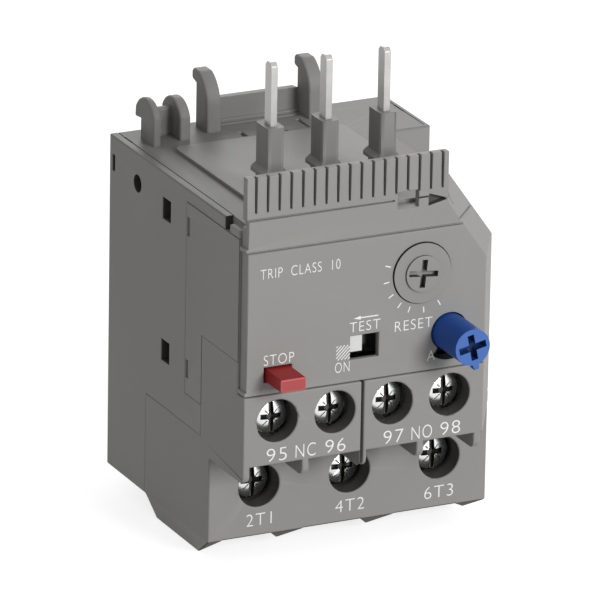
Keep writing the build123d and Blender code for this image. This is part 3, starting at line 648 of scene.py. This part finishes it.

# painted light on the button's front, and painted shade in its slot and on its flange and shaft behind the
# cover
resetTint = {"rim": 0.2, "facing": 0.35, "from": 0.05, "to": 1.45, "within": 2.3, "shaft": 0.5}
tint(button, resetLitFront,
     lambda at, way: at.y < resetFront / mm + resetTint["rim"] and way.y < -resetTint["facing"])
tint(button, resetSlotShade,
     lambda at, way: resetTint["from"] < at.y - resetFront / mm < resetTint["to"]
     and away(at, resetAt) < resetTint["within"])
tint(button, resetSlotShade, lambda at, way: at.y > frontY + resetTint["shaft"])
print("reset button made")


# return springs of round wire; wire and travel in mm

springs = {
    "reset_spring": {"joint": "reset_press", "axis": (0, 1, 0), "travel": 2.0, "wire": 0.34, "turns": 3.5},
    "stop_spring": {"joint": "stop_press", "axis": (0, 1, 0), "travel": 2.0, "wire": 0.30, "turns": 5.0},
    "carrier_spring": {"joint": "contact_slide", "axis": (0, 0, 1), "travel": 1.1, "wire": 0.26,
                       "turns": 4.5},
}
stepsPerTurn = 24


def windSpring(node, spring):
    low, high = [Vector(corner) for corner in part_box(node)]
    middle = (low + high) / 2
    alongY = spring["axis"][1] == 1
    lengthways = 1 if alongY else 2
    length = high[lengthways] - low[lengthways]
    wire = spring["wire"] * mm
    radius = (high.x - low.x - wire) / 2
    steps = int(spring["turns"] * stepsPerTurn)
    path = bpy.data.curves.new(node + "_line", "CURVE")
    path.dimensions = "3D"
    path.bevel_depth = wire / 2
    path.bevel_resolution = 3
    path.use_fill_caps = True
    run = path.splines.new("POLY")
    run.points.add(steps)
    for i, point in enumerate(run.points):
        turn = 2 * math.pi * i / stepsPerTurn
        up = low[lengthways] + wire / 2 + (length - wire) * i / steps
        x, side = middle.x + radius * math.cos(turn), radius * math.sin(turn)
        point.co = (x, up, middle.z + side, 1) if alongY else (x, middle.y + side, up, 1)
    coil = bpy.data.objects.new(node + "_coil", path)
    bpy.context.collection.objects.link(coil)
    pickOnly(coil)
    bpy.ops.object.convert(target="MESH")
    coil = bpy.context.object
    smoothFaces(coil, 50)
    settle(coil, bodyOf[node], slotOf[node])
    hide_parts(node)
    seat = middle.copy()
    seat[lengthways] = high[lengthways] if alongY else low[lengthways]
    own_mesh(coil)


for node, spring in springs.items():
    windSpring(node, spring)
print("springs wound:", len(springs))

# nodes inside keep their CAD shape
dressed = set(softened) | set(springs) | set(mainScrews) | set(auxScrews) | {"reset_button"}
for node, obj in frame["nodes"].items():
    if node not in dressed:
        paint(obj, finishes[slotOf[node]])

# the wire ridges under the block lie in shade
ridgeShade = {"top": 3.2, "facing": 0.25}
tint(softened["terminal_block"], seamShade,
     lambda at, way: at.z < ridgeShade["top"] and way.z < -ridgeShade["facing"])

# painted shade inside the terminal holes
holeInside = {"radius": 3.45, "from": 0.35}
holes = [(middleOf(node), lowerY) for node in mainScrews] + [(middleOf(node), frontY) for node in auxScrews]
tint(softened["terminal_block"], holeShade,
     lambda at, way: any(away(at, centre) < holeInside["radius"] and at.y > front + holeInside["from"]
                         for centre, front in holes))


# printed legends: x and z of the middle, in millimetres, and the height of a capital

legends = {
    "classMark": {"words": "TRIP  CLASS  10", "x": -13.9, "z": 47.7, "y": frontY, "high": 1.5,
                  "wide": 12.6},
    "testMark": {"words": "TEST", "x": -3.5, "z": 37.7, "y": frontY, "high": 1.5, "wide": 4.9},
    "resetMark": {"words": "RESET", "x": 4.3, "z": 36.8, "y": frontY, "high": 1.55, "wide": 6.0},
    "stopMark": {"words": "STOP", "x": -17.1, "z": 34.6, "y": frontY, "high": 1.55, "wide": 4.8},
    "onMark": {"words": "ON", "x": -7.0, "z": 31.85, "y": frontY, "high": 1.55, "wide": 2.3},
    "autoMark": {"words": "A", "x": 7.2, "z": 31.6, "y": frontY, "high": 1.55, "wide": 1.25},
    "mark95": {"words": "95", "x": -17.2, "z": 20.0, "y": frontY, "high": 2.0, "wide": 3.2},
    "markClosed": {"words": "NC", "x": -12.6, "z": 20.0, "y": frontY, "high": 2.0, "wide": 3.2},
    "mark96": {"words": "96", "x": -7.85, "z": 20.0, "y": frontY, "high": 2.0, "wide": 3.2},
    "mark97": {"words": "97", "x": 1.45, "z": 20.0, "y": frontY, "high": 2.0, "wide": 3.2},
    "markOpen": {"words": "NO", "x": 6.0, "z": 20.0, "y": frontY, "high": 2.0, "wide": 3.3},
    "mark98": {"words": "98", "x": 10.6, "z": 20.0, "y": frontY, "high": 2.0, "wide": 3.2},
    "mark2": {"words": "2T1", "x": -14.35, "z": 5.5, "y": lowerY, "high": 1.9, "wide": 4.1},
    "mark4": {"words": "4T2", "x": 0.3, "z": 5.5, "y": lowerY, "high": 1.9, "wide": 4.7},
    "mark6": {"words": "6T3", "x": 14.8, "z": 5.4, "y": lowerY, "high": 1.9, "wide": 4.7},
}
lettering = {"thin": -0.014, "spacing": 1.12}
ink = 0.02                          # how far print stands proud, in mm


def printWords(name, mark):
    bpy.ops.object.text_add(location=(0, 0, 0))
    letters = bpy.context.object
    letters.name = name
    letters.data.body = mark["words"]
    letters.data.align_x = "CENTER"
    letters.data.align_y = "CENTER"
    letters.data.extrude = ink
    letters.data.offset = lettering["thin"]
    letters.data.space_character = lettering["spacing"]
    bpy.ops.object.convert(target="MESH")
    low = Vector([min(v.co[i] for v in letters.data.vertices) for i in range(3)])
    high = Vector([max(v.co[i] for v in letters.data.vertices) for i in range(3)])
    middle = (low + high) / 2
    for v in letters.data.vertices:
        v.co -= middle
    letters.scale = (mark["wide"] * mm / (high.x - low.x), mark["high"] * mm / (high.y - low.y), mm)
    letters.rotation_euler = (math.radians(90), 0, 0)
    letters.location = (mark["x"] * mm, mark["y"] * mm, mark["z"] * mm)
    applyPlace(letters)
    settle(letters, "housing", "inner_white", printWhite)


for name, mark in legends.items():
    printWords(name, mark)


# printed figures without words: outlines of x and z points, filled and given the ink's thickness

def printShapes(name, outlines):
    net = bmesh.new()
    for outline in outlines:
        net.faces.new([net.verts.new((x * mm, frontY * mm, z * mm)) for x, z in outline])
    mesh = bpy.data.meshes.new(name)
    net.to_mesh(mesh)
    net.free()
    shape = bpy.data.objects.new(name, mesh)
    bpy.context.collection.objects.link(shape)
    pickOnly(shape)
    bpy.ops.object.mode_set(mode="EDIT")
    bpy.ops.mesh.select_all(action="SELECT")
    bpy.ops.mesh.normals_make_consistent(inside=False)
    bpy.ops.object.mode_set(mode="OBJECT")
    thick = shape.modifiers.new("ink", "SOLIDIFY")
    thick.thickness = 2 * ink * mm
    thick.offset = 0
    applyModifiers(shape)
    settle(shape, "housing", "inner_white", printWhite)


def stroke(x0, z0, x1, z1, wide):
    side = Vector((x1 - x0, z1 - z0)).normalized().orthogonal() * (wide / 2)
    return [(x0 - side.x, z0 - side.y), (x1 - side.x, z1 - side.y), (x1 + side.x, z1 + side.y),
            (x0 + side.x, z0 + side.y)]


dialPrint = {"angles": (163, 188, 211, 232, 250, 274, 300), "from": 5.25, "to": 6.15, "wide": 0.17}
ticks = []
for angle in dialPrint["angles"]:
    across, up = math.cos(math.radians(angle)), math.sin(math.radians(angle))
    ticks.append(stroke(dialAt.x + dialPrint["from"] * across, dialAt.z + dialPrint["from"] * up,
                        dialAt.x + dialPrint["to"] * across, dialAt.z + dialPrint["to"] * up,
                        dialPrint["wide"]))
printShapes("dialScale", ticks)

arrow = {"left": -5.35, "right": -1.4, "z": 39.0, "head": 1.15, "high": 0.56, "line": 0.17}
neck = arrow["left"] + arrow["head"]
low, high = arrow["z"] - arrow["high"] / 2, arrow["z"] + arrow["high"] / 2
printShapes("testArrow", [
    [(arrow["left"], arrow["z"]), (neck, low), (neck, high)],
    stroke(neck, arrow["z"], arrow["right"], arrow["z"], arrow["line"])])

# a hatched square, with its strokes cut off at the square's sides
hatch = {"left": -8.0, "right": -5.85, "low": 33.0, "lines": 8, "wide": 0.14}
lines = []
side = hatch["right"] - hatch["left"]
for i in range(hatch["lines"]):
    shift = -side + 2 * side * (i + 0.5) / hatch["lines"]
    start, end = max(0.0, -shift), min(side, side - shift)
    lines.append(stroke(hatch["left"] + start, hatch["low"] + start + shift,
                        hatch["left"] + end, hatch["low"] + end + shift, hatch["wide"]))
printShapes("onHatch", lines)
print("legends printed:", len(legends) + 3)


# studio: the floor shows white to the camera and in metal, but throws back less light than white paper

studio = {"floor": 3.0, "floorTone": 0.45, "floorLift": 0.78, "ambient": 0.40, "aim": (0, 0, 0.03)}

bpy.ops.mesh.primitive_plane_add(size=studio["floor"], location=(0, 0, 0))
floor = bpy.context.object
floor.name = "studioFloor"
paper = bpy.data.materials.new("paperSweep")
paper.use_nodes = True
wire = Wire(paper.node_tree)
surface = wire.tree.nodes["Principled BSDF"]
surface.inputs["Base Color"].default_value = shade((1, 1, 1), studio["floorTone"])
surface.inputs["Roughness"].default_value = 0.9
surface.inputs["Emission Color"].default_value = (1, 1, 1, 1)
shown = wire.node("LightPath", out="Is Camera Ray") + wire.node("LightPath", out="Is Glossy Ray")
feed(surface, shown.clamp() * studio["floorLift"], "Emission Strength")
paint(floor, paper)

world = bpy.data.worlds.new("studio")
bpy.context.scene.world = world
world.use_nodes = True
wire = Wire(world.node_tree)
seen = (wire.node("LightPath", out="Is Camera Ray") + wire.node("LightPath", out="Is Glossy Ray")
        + wire.node("LightPath", out="Is Transmission Ray")).clamp()
ground = wire.tree.nodes["Background"]
ground.inputs["Color"].default_value = (1, 1, 1, 1)
strength = wire.node("MapRange", values={"Value": seen, "To Min": studio["ambient"], "To Max": 1.0})
feed(ground, strength, "Strength")

lamps = {
    "keyLamp": {"at": (0.36, -1.17, 0.50), "size": 0.45, "power": 11.9},
    "backLamp": {"at": (0.55, 1.10, 0.55), "size": 0.60, "power": 4.0},
}
# black cards that only show in polished metal
cards = {
    "rightCard": {"at": (0.36, -0.10, 0.05), "size": 0.28},
    "leftCard": {"at": (-0.42, 0.02, 0.10), "size": 0.40},
}
for name, lamp in lamps.items():
    bpy.ops.object.light_add(type="AREA", location=lamp["at"])
    light = bpy.context.object
    light.name = name
    light.data.size = lamp["size"]
    light.data.energy = lamp["power"]
    light.rotation_euler = (Vector(studio["aim"]) - light.location).to_track_quat("-Z", "Y").to_euler()

black = bpy.data.materials.new("blackCard")
black.use_nodes = True
surface = black.node_tree.nodes["Principled BSDF"]
surface.inputs["Base Color"].default_value = (0.01, 0.01, 0.01, 1)
surface.inputs["Roughness"].default_value = 1.0
for name, card in cards.items():
    facing = (Vector(studio["aim"]) - Vector(card["at"])).to_track_quat("Z", "Y").to_euler()
    bpy.ops.mesh.primitive_plane_add(size=card["size"], location=card["at"], rotation=facing)
    plane = bpy.context.object
    plane.name = name
    plane.visible_camera = False
    plane.visible_diffuse = False
    plane.visible_shadow = False
    plane.visible_transmission = False
    paint(plane, black)

# the photographer's place in metres and the camera's turn in degrees
view = {"at": (-0.50278, -1.023224, 0.445892), "turn": (70.1542, -0.9425, -25.6328), "lens": 499.8}
bpy.ops.object.camera_add(location=view["at"], rotation=[math.radians(a) for a in view["turn"]])
camera = bpy.context.object
camera.name = "photoCamera"
camera.data.lens = view["lens"]
camera.data.sensor_width = 36.0
camera.data.clip_start = 0.05
bpy.context.scene.camera = camera
bpy.context.scene.view_settings.view_transform = "Standard"
print("studio set")
